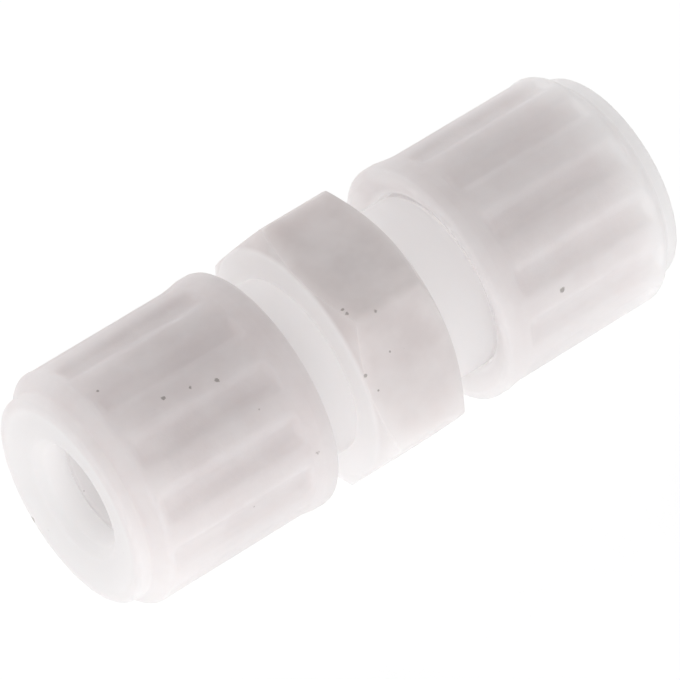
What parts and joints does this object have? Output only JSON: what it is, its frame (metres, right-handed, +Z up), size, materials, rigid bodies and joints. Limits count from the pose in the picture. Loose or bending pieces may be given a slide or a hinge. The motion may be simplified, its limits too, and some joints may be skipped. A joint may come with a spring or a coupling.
{
  "type": "straight compression fitting",
  "caption": "Straight compression fitting in milky plastic: a hexagon body with a fluted union nut at each end that clamps a tube through its ferrules.",
  "frame": {"origin": "centre of the hexagon, on the fitting's axis, which is within half a millimetre of the middle of its overall length with the nuts where the picture shows them", "axes": "+X along the fitting's axis towards the right nut's nose, +Z up, square to a flat of the hexagon"},
  "size_m": [0.0629, 0.0278, 0.0242],
  "materials": {
    "fitting_body": "natural milky fluoropolymer, translucent, satin gloss",
    "nut": "natural milky fluoropolymer, translucent, satin moulded skin",
    "ferrule": "turned white fluoropolymer, smooth"
  },
  "bodies": {
    "fitting_body": {"union_body": "fitting_body"},
    "ferrules_left": {"front_ferrule_left": "ferrule", "back_ferrule_left": "ferrule"},
    "ferrules_right": {"front_ferrule_right": "ferrule", "back_ferrule_right": "ferrule"},
    "nut_left": {"compression_nut_left": "nut"},
    "nut_right": {"compression_nut_right": "nut"}
  },
  "joints": [
    {"name": "nut_travel_left", "type": "slide", "parent": "fitting_body", "child": "ferrules_left", "axis": [-1, 0, 0], "range_m": [0, 0.006]},
    {"name": "nut_turn_left", "type": "hinge", "parent": "ferrules_left", "child": "nut_left", "pos_m": [-0.02, 0, 0], "axis": [-1, 0, 0], "range_deg": [0, 1440]},
    {"name": "nut_travel_right", "type": "slide", "parent": "fitting_body", "child": "ferrules_right", "axis": [1, 0, 0], "range_m": [-0.0009, 0.006]},
    {"name": "nut_turn_right", "type": "hinge", "parent": "ferrules_right", "child": "nut_right", "pos_m": [0.02, 0, 0], "axis": [1, 0, 0], "range_deg": [-216, 1440]}
  ],
  "couplings": [
    {"joint": "nut_travel_left", "follows": "nut_turn_left", "m_per_rad": 0.00023873},
    {"joint": "nut_travel_right", "follows": "nut_turn_right", "m_per_rad": 0.00023873}
  ]
}
